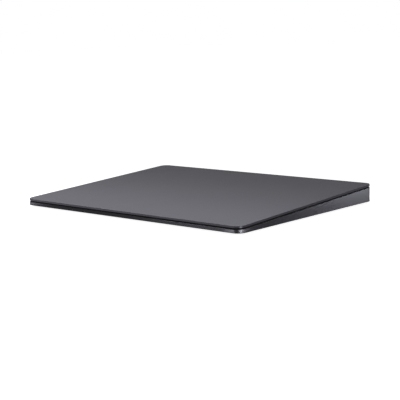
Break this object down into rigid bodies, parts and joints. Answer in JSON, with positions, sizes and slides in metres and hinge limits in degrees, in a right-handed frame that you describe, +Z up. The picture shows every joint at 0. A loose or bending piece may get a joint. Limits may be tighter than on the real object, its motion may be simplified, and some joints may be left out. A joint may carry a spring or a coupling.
{
  "type": "trackpad",
  "caption": "Wedge-shaped desktop trackpad: flat grey touch plate on load cells over a dark metal housing, with a rear charging socket and slide switch.",
  "frame": {"origin": "on the desk, under the middle of the pad", "axes": "+X to the user's right, +Y to the rear (the thick edge), +Z up"},
  "size_m": [0.16, 0.115, 0.0109],
  "materials": {
    "cover_glass": "satin dark grey glass, opaque from behind",
    "anodised_housing": "fine bead-blasted and anodised, dark grey",
    "edge_seal": "matte black foam",
    "foot_rubber": "matte dark grey rubber",
    "bond_film": "clear adhesive film",
    "circuit_board": "green solder mask",
    "chip_black": "moulded chips",
    "plate_steel": "rolled steel sheet",
    "core_steel": "stacked soft steel",
    "spring_steel": "etched spring steel",
    "gauge_foil": "foil grid on amber film",
    "gel": "translucent gel",
    "coil_copper": "enamelled copper wire",
    "screw_steel": "plain steel",
    "flex_film": "amber film with copper tracks",
    "cell_pouch": "laminated foil pouch",
    "tape": "stretch-release tape",
    "shield_tin": "tinned sheet",
    "carrier_plastic": "moulded black plastic",
    "antenna_copper": "plated copper track",
    "contact_gold": "gold plated",
    "socket_steel": "drawn steel shell",
    "slider_plastic": "fine textured plastic",
    "flag_green": "green inlay",
    "switch_case": "stamped case",
    "lever_nylon": "natural nylon"
  },
  "bodies": {
    "base": {"base_housing": "anodised_housing", "edge_seal": "edge_seal", "foot_front_left": "foot_rubber", "foot_front_right": "foot_rubber", "foot_rear_left": "foot_rubber", "foot_rear_right": "foot_rubber", "logic_board": "circuit_board", "socket_board": "circuit_board", "battery_protection_board": "circuit_board", "logic_components": "chip_black", "haptic_mount": "plate_steel", "socket_clamp": "plate_steel", "haptic_core": "core_steel", "load_cell_front_left": "spring_steel", "load_cell_front_right": "spring_steel", "load_cell_rear_left": "spring_steel", "load_cell_rear_right": "spring_steel", "strain_gauges": "gauge_foil", "haptic_coil_left": "coil_copper", "haptic_coil_middle": "coil_copper", "haptic_coil_right": "coil_copper", "load_cell_screws": "screw_steel", "haptic_screws": "screw_steel", "logic_screws": "screw_steel", "socket_screws": "screw_steel", "gauge_flex": "flex_film", "haptic_flex": "flex_film", "battery_flex": "flex_film", "touch_flex": "flex_film", "socket_flex": "flex_film", "battery_cell": "cell_pouch", "battery_tape": "tape", "radio_shield": "shield_tin", "antenna_carrier": "carrier_plastic", "switch_guide": "carrier_plastic", "socket_tongue": "carrier_plastic", "antenna_foil": "antenna_copper", "socket_contacts": "contact_gold", "antenna_feed": "contact_gold", "socket_shell": "socket_steel", "switch_body": "switch_case"},
    "pad_seats": {"pad_seat_front_left": "plate_steel", "pad_seat_front_right": "plate_steel", "pad_seat_rear_left": "plate_steel", "pad_seat_rear_right": "plate_steel"},
    "touch_plate": {"cover_glass": "cover_glass", "bond_film": "bond_film", "sensor_board": "circuit_board", "sensor_components": "chip_black", "stiffener_plate": "plate_steel", "haptic_armature": "core_steel", "gel_pad_front_left": "gel", "gel_pad_front_right": "gel", "gel_pad_rear_left": "gel", "gel_pad_rear_right": "gel"},
    "power_switch": {"switch_slider": "slider_plastic", "switch_on_flag": "flag_green", "switch_lever": "lever_nylon"}
  },
  "joints": [
    {"name": "press", "type": "slide", "parent": "base", "child": "pad_seats", "axis": [0, 0.0521, -0.9986], "range_m": [0, 0.0002], "stiffness_N_per_m": 10000, "springref_m": -0.0003, "deforming": ["load_cell_front_left", "load_cell_front_right", "load_cell_rear_left", "load_cell_rear_right", "touch_flex"]},
    {"name": "haptic_shift", "type": "slide", "parent": "pad_seats", "child": "touch_plate", "axis": [0, 0.9986, 0.0521], "range_m": [-0.0002, 0.0002], "stiffness_N_per_m": 5000},
    {"name": "switch_slide", "type": "slide", "parent": "base", "child": "power_switch", "axis": [1, 0, 0], "range_m": [0, 0.0022]}
  ]
}
